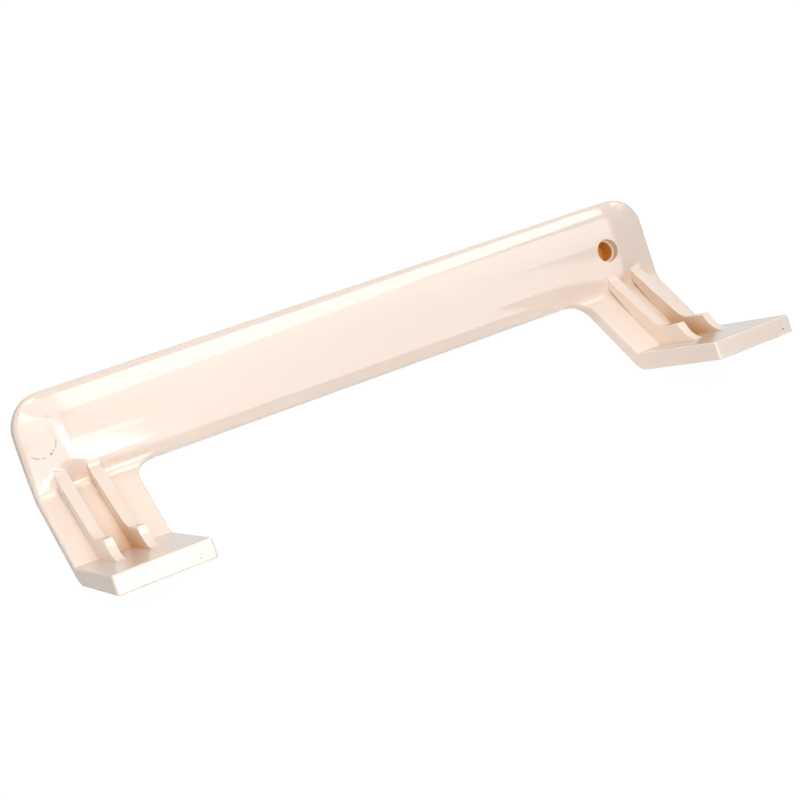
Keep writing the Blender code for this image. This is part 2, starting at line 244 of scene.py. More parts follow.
# Floor, in metres. Its gloss level changes between the given places, towards the left and the front.
FLOOR_HALF_SIZE = 3
FLOOR_COLOUR = (0.9, 0.9, 0.9, 1.0)
FLOOR_ROUGHNESS = 0.9
FLOOR_GLOW = 1.06
FLOOR_SHINE_LEFT = 0.28
FLOOR_SHINE_RIGHT = 0.88
FLOOR_SHINE_FRONT = 0.3
SHINE_CHANGE_X = (-0.13, -0.07)
SHINE_CHANGE_Y = (-0.10, -0.04)
SHADOW_SHARE = 0.12
SHADOW_FADE = (0.12, 0.30)

# Light: level 1 is white. Places are in metres.
WHITE = (1.0, 1.0, 1.0, 1.0)
WORLD_FILL = 0.04

# Lamps: name, degrees from the front towards the right, degrees above the floor, distance, level
LAMPS = (
    ("key", -45, 42, 0.52, 1.36),
    ("high_front", -20, 62, 0.7, 4.5),
    ("low_front", 0, 12, 1.3, 1.1),
    ("back_right", 135, 42, 1.3, 2.55),
    ("back", 180, 42, 1.3, 0.95),
    ("back_left", -135, 42, 1.3, 1.7),
)
LAMP_SPREAD = 0.615

# Level panels seen only in gloss: name, height, level, corners
OVERHEAD_PANELS = (
    ("overhead", 0.62, 7.4, ((0.045, -0.235), (0.47, 0.03), (0.47, 0.30), (0.03, 0.14))),
    ("overhead_left", 0.63, 3.4, ((-0.20, -0.42), (0.03, -0.30), (0.015, 0.13), (-0.20, 0.13))),
)

# Upright boxes in front, seen only in gloss: name, place across, height, size, level
FRONT_BOX_Y = -0.6
FRONT_BOXES = (
    ("front_low", 0.0325, 0.27, (0.125, 0.26), 10.0),
    ("front_join", -0.0725, 0.3875, (0.085, 0.235), 7.0),
    ("front_middle", 0.0475, 0.455, (0.155, 0.11), 13.0),
    ("front_high", -0.085, 0.68, (0.23, 0.35), 8.0),
    ("front_wide", 0.30, 0.37, (0.5, 0.68), 2.8),
    ("front_rise", 0.41, 0.785, (0.62, 0.15), 3.0),
)

# Two more boxes seen only in gloss
OVERHEAD_EDGE_PLACE = (0.32, -0.25, 0.62)
OVERHEAD_EDGE_SIZE = (0.52, 0.32)
OVERHEAD_EDGE_LEVEL = 3.2
FRONT_LEFT_TURN = -18
FRONT_LEFT_RISE = 42
FRONT_LEFT_DISTANCE = 0.7
FRONT_LEFT_ACROSS = (1, -0.3, 0)
FRONT_LEFT_SIZE = (0.3, 0.5)
FRONT_LEFT_LEVEL = 3.9


def arc_steps(angle):
    return max(2, ceil(abs(angle) / ARC_STEP))


def smooth_step(value, low, high):
    t = min(max((value - low) / (high - low), 0.0), 1.0)
    return t * t * (3 - 2 * t)


# Side profile of band, leg and foot, in points (y, z)

LEG_SLOPE = 1 / tan(LEG_ANGLE)
OUTER_FACE_LEVEL = LEG_FACE_LEVEL - LEG_THICKNESS / sin(LEG_ANGLE)


def inner_face_z(y):
    return LEG_FACE_LEVEL - y * LEG_SLOPE


def outer_face_z(y):
    return OUTER_FACE_LEVEL - y * LEG_SLOPE


FOOT_BOTTOM = -FOOT_DROP - FOOT_THICKNESS
FOOT_CORNER_FRONT = (-FOOT_DROP, inner_face_z(-FOOT_DROP))
FOOT_CORNER_BACK = (FOOT_BOTTOM, outer_face_z(FOOT_BOTTOM))
SHEET_FOOT_BEND = FOOT_DROP / sin(LEG_ANGLE)
SHEET_END = SHEET_FOOT_BEND + FOOT_REACH - FOOT_CORNER_FRONT[1]


def end_fall(x):
    """How far the band's face has fallen away at a place x, past the ridge."""
    beyond = abs(x) - (HALF_LENGTH - RIDGE_FROM_END)
    if beyond <= -RIDGE_HALF_WIDTH:
        return 0.0
    if beyond >= RIDGE_HALF_WIDTH:
        return beyond * tan(END_FALL_ANGLE)
    return (beyond + RIDGE_HALF_WIDTH) ** 2 / (4 * RIDGE_HALF_WIDTH) * tan(END_FALL_ANGLE)


def crown_z(x, y):
    """Level of the band's crowned face."""
    across = min(abs(y - BAND_MIDDLE), BAND_MIDDLE) / CROWN_HALF_WIDTH
    drop = CROWN_HALF_DEPTH * (1 - sqrt(1 - across ** 2))
    near_end = smooth_step(abs(x), HALF_LENGTH - RIDGE_FROM_END, HALF_LENGTH)
    return CROWN_LEVEL - drop * (1 - near_end) - end_fall(x)


def back_z(x, y):
    """Level of the band's back, which is crowned too, though less."""
    across = min(abs(y - BAND_MIDDLE), BAND_MIDDLE)
    rim = sqrt(BACK_CROWN_RADIUS ** 2 - BAND_MIDDLE ** 2)
    level = BAND_BACK_LEVEL + END_BACK_SHARE * end_fall(x)
    return level - sqrt(BACK_CROWN_RADIUS ** 2 - across ** 2) + rim


def band_corner_back(x):
    """Point where the band's back meets the plane of the leg's outer face."""
    level = back_z(x, 0.0)
    return (OUTER_FACE_LEVEL - level) / LEG_SLOPE, level


def fold_height(x):
    """Height at which the crowned face meets the plane of the leg's inner face."""
    y = 0.0
    for _ in range(MEETING_ROUNDS):
        y = (LEG_FACE_LEVEL - crown_z(x, y)) / LEG_SLOPE
    return y


def mix(a, b, t):
    return tuple(p + (q - p) * t for p, q in zip(a, b))


def bend(start, corner, end, t):
    return mix(mix(start, corner, t), mix(corner, end, t), t)


def towards(a, b, distance):
    return mix(a, b, distance / hypot(b[0] - a[0], b[1] - a[1]))


def front_profile(x, s):
    """Point of the front face at a place x and a distance s along the sheet."""
    height = fold_height(x)
    fold = (height, inner_face_z(height))
    top = fold[0] + BEND_BAND_FRONT
    if s <= -BEND_BAND_FRONT:
        y = top + (-s - BEND_BAND_FRONT) * (BAND_WIDTH - top) / (BAND_WIDTH - BEND_BAND_FRONT)
        return y, crown_z(x, y)
    after = towards(fold, FOOT_CORNER_FRONT, BEND_BAND_FRONT)
    if s < BEND_BAND_FRONT:
        before = (top, crown_z(x, top))
        return bend(before, fold, after, (s + BEND_BAND_FRONT) / (2 * BEND_BAND_FRONT))
    before = towards(FOOT_CORNER_FRONT, fold, BEND_FOOT_FRONT)
    if s <= SHEET_FOOT_BEND - BEND_FOOT_FRONT:
        run = SHEET_FOOT_BEND - BEND_FOOT_FRONT - BEND_BAND_FRONT
        return mix(after, before, (s - BEND_BAND_FRONT) / run)
    after = (FOOT_CORNER_FRONT[0], FOOT_CORNER_FRONT[1] + BEND_FOOT_FRONT)
    if s < SHEET_FOOT_BEND + BEND_FOOT_FRONT:
        part = (s - SHEET_FOOT_BEND + BEND_FOOT_FRONT) / (2 * BEND_FOOT_FRONT)
        return bend(before, FOOT_CORNER_FRONT, after, part)
    return FOOT_CORNER_FRONT[0], FOOT_CORNER_FRONT[1] + s - SHEET_FOOT_BEND


def back_profile(x, s):
    """Point of the back face at a place x and a distance s along the sheet."""
    corner = band_corner_back(x)
    top = corner[0] + BEND_BAND_BACK
    if s <= -BEND_BAND_BACK:
        run = (BAND_WIDTH - top) / (BAND_WIDTH - BEND_BAND_BACK)
        y = top + (-s - BEND_BAND_BACK) * run
        return y, back_z(x, y)
    after = towards(corner, FOOT_CORNER_BACK, BEND_BAND_BACK)
    if s < BEND_BAND_BACK:
        before = (top, back_z(x, top))
        part = (s + BEND_BAND_BACK) / (2 * BEND_BAND_BACK)
        return bend(before, corner, after, part)
    before = towards(FOOT_CORNER_BACK, corner, BEND_FOOT_BACK)
    if s <= SHEET_FOOT_BEND - BEND_FOOT_BACK:
        run = SHEET_FOOT_BEND - BEND_FOOT_BACK - BEND_BAND_BACK
        return mix(after, before, (s - BEND_BAND_BACK) / run)
    after = (FOOT_BOTTOM, FOOT_CORNER_BACK[1] + BEND_FOOT_BACK)
    if s < SHEET_FOOT_BEND + BEND_FOOT_BACK:
        part = (s - SHEET_FOOT_BEND + BEND_FOOT_BACK) / (2 * BEND_FOOT_BACK)
        return bend(before, FOOT_CORNER_BACK, after, part)
    run = (FOOT_REACH - after[1]) / (SHEET_END - SHEET_FOOT_BEND - BEND_FOOT_BACK)
    return FOOT_BOTTOM, after[1] + (s - SHEET_FOOT_BEND - BEND_FOOT_BACK) * run


# Between the legs the band has no bend. The bend fades in beside each leg's fillet.
BEND_FADE_PAST_FILLET = 1.0
BEND_FADE_LENGTH = 4.0
BEND_FADE_END = LEG_INNER_SIDE - LEG_SIDE_FILLET + BEND_FADE_PAST_FILLET
BEND_FADE_START = BEND_FADE_END - BEND_FADE_LENGTH


def sheet_faces(x, s):
    """Front and back points of the sheet at a place x and a distance s along it."""
    front = front_profile(x, s)
    back = back_profile(x, s)
    fade = smooth_step(abs(x), BEND_FADE_START, BEND_FADE_END)
    if fade < 1.0 and s > -max(BEND_BAND_FRONT, BEND_BAND_BACK):
        front = mix((-s, crown_z(x, max(-s, 0.0))), front, fade)
        back = mix((-s, back_z(x, max(-s, 0.0))), back, fade)
    return front, back


# Outline of the unfolded sheet, as points (x, s)


def arc_points(centre, radius, start, sweep):
    steps = arc_steps(sweep)
    points = []
    for i in range(steps + 1):
        angle = start + sweep * i / steps
        points.append((centre[0] + radius * cos(angle), centre[1] + radius * sin(angle)))
    return points


def half_outline():
    end = HALF_LENGTH
    top = -BAND_WIDTH
    side = LEG_INNER_SIDE
    points = arc_points((end - CORNER_RADIUS, top + CORNER_RADIUS), CORNER_RADIUS, -pi / 2, pi / 2)
    foot = FOOT_CORNER_RADIUS
    points += arc_points((end - foot, SHEET_END - foot), foot, 0.0, pi / 2)
    points += arc_points((end - FOOT_WIDTH + foot, SHEET_END - foot), foot, pi / 2, pi / 2)
    fillet = LEG_SIDE_FILLET
    points += arc_points((side - fillet, fillet), fillet, 0.0, -pi / 2)
    return points


def outline():
    right = half_outline()
    left = [(-x, s) for x, s in reversed(right)]
    return right + left


def outline_normals(points):
    """Unit vectors that point into the sheet at each point of the outline."""
    normals = []
    count = len(points)
    for i, point in enumerate(points):
        before = Vector(point) - Vector(points[i - 1])
        after = Vector(points[(i + 1) % count]) - Vector(point)
        along = before.normalized() + after.normalized()
        inward = Vector((-along.y, along.x)).normalized()
        normals.append(inward / max(inward.dot(Vector((-after.y, after.x)).normalized()), MITRE_LIMIT))
    return normals


def edge_sizes(s):
    leg_share = smooth_step(s, 0.0, EDGE_CHANGE_LENGTH)
    front = BAND_FRONT_EDGE + (LEG_EDGE - BAND_FRONT_EDGE) * leg_share
    back = BAND_BACK_EDGE + (LEG_EDGE - BAND_BACK_EDGE) * leg_share
    return front, back


# In the flat sheet the third coordinate is the distance in from the back face,
# or FLAT_DEPTH less the distance in from the front face. Any great depth will do.
FLAT_DEPTH = LENGTH


def flat_rows():
    points = outline()
    normals = outline_normals(points)
    rows = []
    for side in ("back", "front"):
        for k in range(EDGE_STEPS + 1):
            turn = (pi / 2) * k / EDGE_STEPS
            if side == "front":
                turn = pi / 2 - turn
            row = []
            for point, normal in zip(points, normals):
                front_edge, back_edge = edge_sizes(point[1])
                radius = back_edge if side == "back" else front_edge
                inset = Vector(point) + normal * radius * (1 - sin(turn))
                depth = radius * (1 - cos(turn))
                level = depth if side == "back" else FLAT_DEPTH - depth
                row.append((inset.x, inset.y, level))
            rows.append(row)
    return rows


def cutting_places():
    ridge = HALF_LENGTH - RIDGE_FROM_END
    across = [0.0]
    for i in range(RIDGE_STEPS + 1):
        across.append(ridge + RIDGE_HALF_WIDTH * (2 * i / RIDGE_STEPS - 1))
        across.append(BEND_FADE_START + (BEND_FADE_END - BEND_FADE_START) * i / RIDGE_STEPS)
    for i in range(1, CHEEK_STEPS):
        across.append(ridge + RIDGE_HALF_WIDTH
                      + (RIDGE_FROM_END - RIDGE_HALF_WIDTH) * i / CHEEK_STEPS)
    along = [-BAND_WIDTH * i / CROWN_STEPS for i in range(1, CROWN_STEPS)]
    bends = ((0.0, BEND_BAND_FRONT), (0.0, BEND_BAND_BACK),
             (SHEET_FOOT_BEND, BEND_FOOT_FRONT), (SHEET_FOOT_BEND, BEND_FOOT_BACK))
    for middle, reach in bends:
        along += [middle + reach * (2 * i / BEND_STEPS - 1) for i in range(BEND_STEPS + 1)]
    return across, along


def cut(bm, place, direction):
    geometry = bm.verts[:] + bm.edges[:] + bm.faces[:]
    bmesh.ops.bisect_plane(bm, geom=geometry, dist=CUT_TOLERANCE, plane_co=place, plane_no=direction)


def fold_sheet(bm):
    """Moves each point of the flat sheet to its place on the folded handle."""
    for vertex in bm.verts:
        x, s, level = vertex.co
        front, back = sheet_faces(x, s)
        front = Vector((x, front[0], front[1]))
        back = Vector((x, back[0], back[1]))
        inwards = (front - back).normalized()
        if level < FLAT_DEPTH / 2:
            vertex.co = back + inwards * level
        else:
            vertex.co = front - inwards * (FLAT_DEPTH - level)


def finish_mesh(bm, name):
    bmesh.ops.recalc_face_normals(bm, faces=bm.faces[:])
    if bm.calc_volume(signed=True) < 0:
        bmesh.ops.reverse_faces(bm, faces=bm.faces[:])
    bmesh.ops.scale(bm, vec=(MM, MM, MM), verts=bm.verts[:])
    mesh = bpy.data.meshes.new(name)
    bm.to_mesh(mesh)
    bm.free()
    return mesh


def sheet_mesh():
    """Band, legs and feet as one folded sheet with rounded edges."""
    bm = bmesh.new()
    rows = [[bm.verts.new(p) for p in row] for row in flat_rows()]
    count = len(rows[0])
    bm.faces.new(rows[0])
    bm.faces.new(reversed(rows[-1]))
    for lower, upper in zip(rows, rows[1:]):
        for i in range(count):
            j = (i + 1) % count
            bm.faces.new((lower[i], upper[i], upper[j], lower[j]))
    across, along = cutting_places()
    for x in sorted(set(across + [-x for x in across])):
        cut(bm, (x, 0, 0), (1, 0, 0))
    for s in sorted(along):
        cut(bm, (0, s, 0), (0, 1, 0))
    bmesh.ops.remove_doubles(bm, verts=bm.verts[:], dist=SMALLEST_FACET)
    bmesh.ops.triangulate(bm, faces=[face for face in bm.faces if len(face.verts) > 4])
    fold_sheet(bm)
    return finish_mesh(bm, "fine_sheet")


def rib_start(x, top_line):
    """Height at which a rib's top line meets the band's face at a place x."""
    y = 0.0
    for _ in range(MEETING_ROUNDS):
        y = (crown_z(x, y) - top_line[1]) / top_line[0]
    return y


def rib_profile(x):
    """Side view of the rib at a place x: its top edge, the horn, and a hidden root."""
    horn_y = -FOOT_DROP + HORN_HEIGHT
    dip_y = horn_y - HORN_DIP
    rise = RIB_HEIGHT_AT_BAND / sin(LEG_ANGLE)
    corner = (dip_y, inner_face_z(dip_y) + RIB_HEIGHT_AT_HORN / sin(LEG_ANGLE))
    slope = (corner[1] - LEG_FACE_LEVEL - rise) / dip_y
    meet_y = rib_start(x, (slope, LEG_FACE_LEVEL + rise))
    meet = (meet_y, crown_z(x, meet_y))
    above = meet_y + RIB_START_BLEND
    start = (above, crown_z(x, above) - RIB_START_DIP)
    blend_end = towards(meet, corner, RIB_START_BLEND)
    bend_start = towards(corner, meet, RIB_BEND_LENGTH)
    bend_end = (dip_y, corner[1] + RIB_BEND_LENGTH)
    points = [bend(start, meet, blend_end, i / BEND_STEPS) for i in range(BEND_STEPS + 1)]
    for i in range(BEND_STEPS + 1):
        points.append(bend(bend_start, corner, bend_end, i / BEND_STEPS))
    centre_y = -FOOT_DROP + HORN_FRONT_RADIUS
    start_angle = asin((centre_y - horn_y) / HORN_FRONT_RADIUS)
    centre_z = HORN_TIP_REACH + HORN_FRONT_RADIUS * cos(start_angle)
    steps = arc_steps(pi / 2 - start_angle)
    for i in range(steps + 1):
        angle = start_angle + (pi / 2 - start_angle) * i / steps
        y = centre_y - HORN_FRONT_RADIUS * sin(angle)
        points.append((y, centre_z - HORN_FRONT_RADIUS * cos(angle)))
    root_y = -FOOT_DROP - RIB_ROOT_DEPTH
    points.append((root_y, centre_z))
    points.append((root_y, inner_face_z(-FOOT_DROP)))
    points.append((meet_y - RIB_ROOT_DEPTH, start[1] - RIB_ROOT_DEPTH))
    points.append((above, start[1] - RIB_ROOT_DEPTH))
    return points


def rib_half_thickness(z):
    return RIB_TIP_THICKNESS / 2 + (HORN_TIP_REACH - z) * tan(RIB_DRAFT)


def rib_mesh(centre):
    """A drafted rib with eased edges, centred on a place along the handle."""
    bm = bmesh.new()
    sides = []
    for hand in (-1, 1):
        ring = []
        for y, z in rib_profile(centre):
            ring.append(bm.verts.new((centre + hand * rib_half_thickness(z), y, z)))
        sides.append(ring)
    count = len(sides[0])
    bm.faces.new(sides[0])
    bm.faces.new(reversed(sides[1]))
    for i in range(count):
        j = (i + 1) % count
        bm.faces.new((sides[0][j], sides[0][i], sides[1][i], sides[1][j]))
    side_faces = {face for face in bm.faces if len(face.verts) == count}
    edges = [edge for edge in bm.edges if any(face in side_faces for face in edge.link_faces)]
    bmesh.ops.bevel(
        bm, geom=edges, offset=RIB_EDGE, segments=RIB_EDGE_STEPS, profile=0.5, affect="EDGES"
    )
    return finish_mesh(bm, "fine_rib")


def hole_mesh():
    """Stepped cutter for the hole, wide at the front and narrow behind."""
    face = crown_z(HOLE_X, HOLE_HEIGHT)
    mouth = HOLE_MOUTH_DIAMETER / 2
    bore = HOLE_DIAMETER / 2
    levels = (
        (face + HOLE_OVERRUN, mouth),
        (face - HOLE_MOUTH_DEPTH, mouth),
        (face - HOLE_MOUTH_DEPTH, bore),
        (face - HOLE_DEPTH, bore),
    )
    bm = bmesh.new()
    rings = []
    for z, radius in levels:
        ring = []
        for i in range(HOLE_SEGMENTS):
            angle = 2 * pi * i / HOLE_SEGMENTS
            x = HOLE_X + radius * cos(angle)
            y = HOLE_HEIGHT + radius * sin(angle)
            ring.append(bm.verts.new((x, y, z)))
        rings.append(ring)
    bm.faces.new(rings[0])
    bm.faces.new(reversed(rings[-1]))
    for upper, lower in zip(rings, rings[1:]):
        for i in range(HOLE_SEGMENTS):
            j = (i + 1) % HOLE_SEGMENTS
            bm.faces.new((upper[i], lower[i], lower[j], upper[j]))
    return finish_mesh(bm, "fine_hole")


def add_object(name, data):
    thing = bpy.data.objects.new(name, data)
    bpy.context.scene.collection.objects.link(thing)
    return thing


def combine(target, name, mesh, operation):
    tool = add_object(name, mesh)
    modifier = target.modifiers.new(name, "BOOLEAN")
    modifier.operation = operation
    modifier.object = tool
    modifier.solver = "EXACT"
    return tool


def lay_down(mesh, part_box):
    """Turns a mesh from the mould's frame and sets it where the part lies."""
    mesh.transform(Matrix.Rotation(pi / 2 - LEG_ANGLE, 4, "X"))
    depths = [vertex.co.y for vertex in mesh.vertices]
    heights = [vertex.co.z for vertex in mesh.vertices]
    middle = (part_box[0][1] + part_box[1][1]) / 2
    shift_y = middle - (min(depths) + max(depths)) / 2
    shift_z = part_box[0][2] - min(heights)
    mesh.transform(Matrix.Translation((0.0, shift_y, shift_z)))


def keep_inside(mesh, part_box):
    """Shrinks the mesh by the hair that its finer curves stand out of the part's box."""
    for axis in range(3):
        places = [vertex.co[axis] for vertex in mesh.vertices]
        middle = (part_box[0][axis] + part_box[1][axis]) / 2
        room = (part_box[1][axis] - part_box[0][axis]) / 2
        reach = max(max(places) - middle, middle - min(places))
        share = min(1.0, (room - FITTING_ROOM) / reach)
        for vertex in mesh.vertices:
            vertex.co[axis] = middle + (vertex.co[axis] - middle) * share


def even_shading(handle):
    """Lets the large faces lead the shading, so that thin facets leave no streaks."""
    modifier = handle.modifiers.new("even_shading", "WEIGHTED_NORMAL")
    modifier.mode = "FACE_AREA"
    modifier.weight = 50
    modifier.keep_sharp = True


def fine_handle(part_box):
    handle = add_object("handle_surface", sheet_mesh())
    tools = []
    number = 0
    for hand in (-1, 1):
        for distance in RIB_FROM_END:
            number += 1
            centre = hand * (HALF_LENGTH - distance)
            tools.append(combine(handle, f"rib_{number}", rib_mesh(centre), "UNION"))
    tools.append(combine(handle, "hole", hole_mesh(), "DIFFERENCE"))
    depsgraph = bpy.context.evaluated_depsgraph_get()
    depsgraph.update()
    mesh = bpy.data.meshes.new_from_object(handle.evaluated_get(depsgraph))
    handle.modifiers.clear()
    handle.data = mesh
    for tool in tools:
        bpy.data.objects.remove(tool, do_unlink=True)
    lay_down(mesh, part_box)
    keep_inside(mesh, part_box)
    mesh.shade_smooth()
    mesh.set_sharp_from_angle(angle=SHARP_ANGLE)
    even_shading(handle)
    return handle


# Materials


class Graph:
    """Short calls for the nodes of one material or of the world."""

    def __init__(self, owner):
        owner.use_nodes = True
        self.nodes = owner.node_tree.nodes
        self.links = owner.node_tree.links

    def feed(self, socket, value):
        if isinstance(value, bpy.types.NodeSocket):
            self.links.new(value, socket)
        else:
            socket.default_value = value

    def math(self, operation, *values):
        node = self.nodes.new("ShaderNodeMath")
        node.operation = operation
        for socket, value in zip(node.inputs, values):
            self.feed(socket, value)
        return node.outputs[0]

    def ramp(self, value, low, high, to_low=0.0, to_high=1.0, kind="SMOOTHSTEP"):
        """Goes from one level to another while the value goes from low to high."""
        node = self.nodes.new("ShaderNodeMapRange")
        node.interpolation_type = kind
        for socket, level in zip(node.inputs, (value, low, high, to_low, to_high)):
            self.feed(socket, level)
        return node.outputs[0]

    def ramp_mm(self, value, span, to_low=0.0, to_high=1.0):
        """A smooth ramp over a span that is given in millimetres."""
        return self.ramp(value, span[0] * MM, span[1] * MM, to_low, to_high)

    def mix(self, share, first, second):
        node = self.nodes.new("ShaderNodeMix")
        node.data_type = "RGBA"
        self.feed(node.inputs["Factor"], share)
        self.feed(node.inputs["A"], first)
        self.feed(node.inputs["B"], second)
        return node.outputs["Result"]

    def mix_shaders(self, share, first, second):
        node = self.nodes.new("ShaderNodeMixShader")
        for socket, value in zip(node.inputs, (share, first, second)):
            self.links.new(value, socket)
        return node.outputs["Shader"]

    def glow(self, level, kind="Emission"):
        """White light at a given level, 1 for white."""
        node = self.nodes.new(f"ShaderNode{kind}")
        node.inputs["Color"].default_value = WHITE
        self.feed(node.inputs["Strength"], level)
        return node.outputs[kind]


class MaterialGraph(Graph):
    """Short calls for the nodes of one material, with places in the part's frame."""

    def __init__(self, name):
        self.material = bpy.data.materials.new(name)
        super().__init__(self.material)
        self.shader = self.nodes["Principled BSDF"]
        self.place = self.nodes.new("ShaderNodeTexCoord").outputs["Object"]
        parts = self.nodes.new("ShaderNodeSeparateXYZ")
        self.links.new(self.place, parts.inputs[0])
        self.x, self.y, self.z = parts.outputs

    def show(self, surface):
        self.links.new(surface, self.nodes["Material Output"].inputs["Surface"])

    def distance(self, spot):
        node = self.nodes.new("ShaderNodeVectorMath")
        node.operation = "DISTANCE"
        self.links.new(self.place, node.inputs[0])
        node.inputs[1].default_value = [value * MM for value in spot]
        return node.outputs["Value"]

    def noise(self, size, detail):
        """Random clouds of the given size in millimetres."""
        node = self.nodes.new("ShaderNodeTexNoise")
        self.links.new(self.place, node.inputs["Vector"])
        node.inputs["Scale"].default_value = 1 / (size * MM)
        node.inputs["Detail"].default_value = detail
        return node.outputs["Fac"]

    def dot(self, spot, radius):
        """1 on a round spot, with a soft edge."""
        return self.ramp_mm(self.distance(spot), (DOT_SOFT_FROM * radius, radius), 1.0, 0.0)

    def ring(self, spot, radius, width):
        """1 on a fine circle around a place."""
        off = self.math("ABSOLUTE", self.math("SUBTRACT", self.distance(spot), radius * MM))
        return self.ramp_mm(off, (0.0, width), 1.0, 0.0)


def paint_amber_shade(graph, colour):
    """Painted amber shade deep between the ribs, and more so in the hole, standing in for light
    bouncing in these hollows.

    The painted shade is limited by place only, so a little of it also falls on the band's back.
    """
    node = graph.nodes.new("ShaderNodeAmbientOcclusion")
    node.samples = DEPTH_SAMPLES
    node.inputs["Distance"].default_value = DEPTH_REACH
    shut_in = graph.ramp(node.outputs["AO"], DEPTH_DARK, DEPTH_LIGHT, 1.0, 0.0)
    from_middle = graph.math("ABSOLUTE", graph.x)
    inner = graph.ramp_mm(from_middle, (HALF_LENGTH - RIB_FROM_END[1], CHANNEL_FROM))
    outer = graph.ramp_mm(from_middle, (CHANNEL_TO, HALF_LENGTH - RIB_FROM_END[0]), 1.0, 0.0)
    channel = graph.ramp_mm(graph.y, LEG_TO_BAND, 1.0, DEPTH_SHARE_AT_BAND)
    over_leg = graph.ramp_mm(graph.z, ABOVE_FLOOR)
    over_foot = graph.ramp_mm(graph.math("ADD", graph.y, graph.z), ABOVE_FOOT)
    for share in (inner, outer, over_leg, over_foot):
        channel = graph.math("MULTIPLY", channel, share)
    hole = graph.ramp_mm(graph.distance(NARROW_BORE_MIDDLE), NARROW_BORE_REACH, 1.0, 0.0)
    # Painted amber shade between the ribs
    colour = graph.mix(graph.math("MULTIPLY", shut_in, channel), colour, PAINTED_AMBER_SHADE)
    # Painted amber shade inside the hole
    return graph.mix(graph.math("MULTIPLY", shut_in, hole), colour, PAINTED_HOLE_SHADE)


def rim_shade_share(graph):
    """Share of painted shade, near 1 where a face is seen along its surface, as on the handle's
    outline, standing in for the dark reflection there.
    """
    node = graph.nodes.new("ShaderNodeLayerWeight")
    node.inputs["Blend"].default_value = 0.5
    return graph.ramp(node.outputs["Facing"], RIM_SHADE_START, RIM_SHADE_END, 0.0, RIM_SHADE_SHARE)


def marks(graph, colour):
    """Pin circles from the mould, one darker along the lower part of its edge, and the specks seen on
    the handle.
    """
    edge = graph.ring(CHEEK_CIRCLE, CHEEK_CIRCLE_RADIUS, CHEEK_DARK_ARC_WIDTH)
    fade = [CHEEK_CIRCLE[1] + end for end in CHEEK_DARK_ARC_FADE]
    lower = graph.ramp_mm(graph.y, fade, 1.0, 0.0)
    broken = graph.ramp(graph.noise(CHEEK_DARK_ARC_GRAIN, 2.0), *CHEEK_DARK_ARC_GAPS)
    dark_arc = graph.math("MULTIPLY", graph.math("MULTIPLY", edge, lower), broken)
    colour = graph.mix(graph.math("MULTIPLY", dark_arc, CHEEK_DARK_ARC_SHARE), colour, DIRT)
    for spot in FOOT_CIRCLES:
        edge = graph.ring(spot, FOOT_CIRCLE_RADIUS, FOOT_CIRCLE_WIDTH)
        colour = graph.mix(graph.math("MULTIPLY", edge, FOOT_CIRCLE_SHARE), colour, DIRT)
    for x, y, z, radius, share in SPECKS:
        spot = graph.math("MULTIPLY", graph.dot((x, y, z), radius), share)
        colour = graph.mix(spot, colour, DIRT)
    return colour


def surface_relief(graph):
    """A slight waviness of the moulded faces and the steps of the pin circles."""
    height = graph.math("MULTIPLY", graph.noise(WAVE_SIZE, 1.0), WAVE_HEIGHT)
    fine = graph.math("MULTIPLY", graph.noise(GRAIN_SIZE, 2.0), GRAIN_HEIGHT)
    height = graph.math("ADD", height, fine)
    circles = [(CHEEK_CIRCLE, CHEEK_CIRCLE_RADIUS, CHEEK_CIRCLE_STEP)]
    circles += [(spot, FOOT_CIRCLE_RADIUS, FOOT_CIRCLE_STEP) for spot in FOOT_CIRCLES]
    for spot, radius, depth in circles:
        edge = (radius - CIRCLE_SOFTNESS, radius + CIRCLE_SOFTNESS)
        inside = graph.ramp_mm(graph.distance(spot), edge, 1.0, 0.0)
        height = graph.math("SUBTRACT", height, graph.math("MULTIPLY", inside, depth))
    bump = graph.nodes.new("ShaderNodeBump")
    bump.inputs["Strength"].default_value = 1.0
    bump.inputs["Distance"].default_value = MM
    graph.links.new(height, bump.inputs["Height"])
    return bump.outputs["Normal"]


def plastic():
    graph = MaterialGraph("ivory_plastic_fine")
    clouds = graph.ramp(graph.noise(CLOUD_SIZE, 2.0), *MIDDLE_TONES)
    colour = graph.mix(clouds, IVORY, IVORY_PINK)
    # Painted amber shade in the hollows
    colour = paint_amber_shade(graph, colour)
    # Painted shade along the outline
    colour = graph.mix(rim_shade_share(graph), colour, PAINTED_RIM_SHADE)
    colour = marks(graph, colour)
    graph.links.new(colour, graph.shader.inputs["Base Color"])
    graph.links.new(surface_relief(graph), graph.shader.inputs["Normal"])
    roughness = graph.ramp(graph.noise(ROUGHNESS_SIZE, 3.0), *MIDDLE_TONES, *ROUGHNESS_RANGE)
    graph.links.new(roughness, graph.shader.inputs["Roughness"])
    graph.shader.inputs["IOR"].default_value = PLASTIC_IOR
    return graph.material


def white_world():
    """White to the camera, in gloss and through clear things, and a faint fill for the rest."""
    world = bpy.data.worlds.new("studio")
    bpy.context.scene.world = world
    graph = Graph(world)
    graph.nodes.clear()
    rays = graph.nodes.new("ShaderNodeLightPath").outputs
    shown = rays["Is Camera Ray"]
    for ray in ("Is Glossy Ray", "Is Transmission Ray"):
        shown = graph.math("MAXIMUM", shown, rays[ray])
    soft = graph.glow(WORLD_FILL, "Background")
    seen = graph.glow(1.0, "Background")
    output = graph.nodes.new("ShaderNodeOutputWorld")
    graph.links.new(graph.mix_shaders(shown, soft, seen), output.inputs["Surface"])


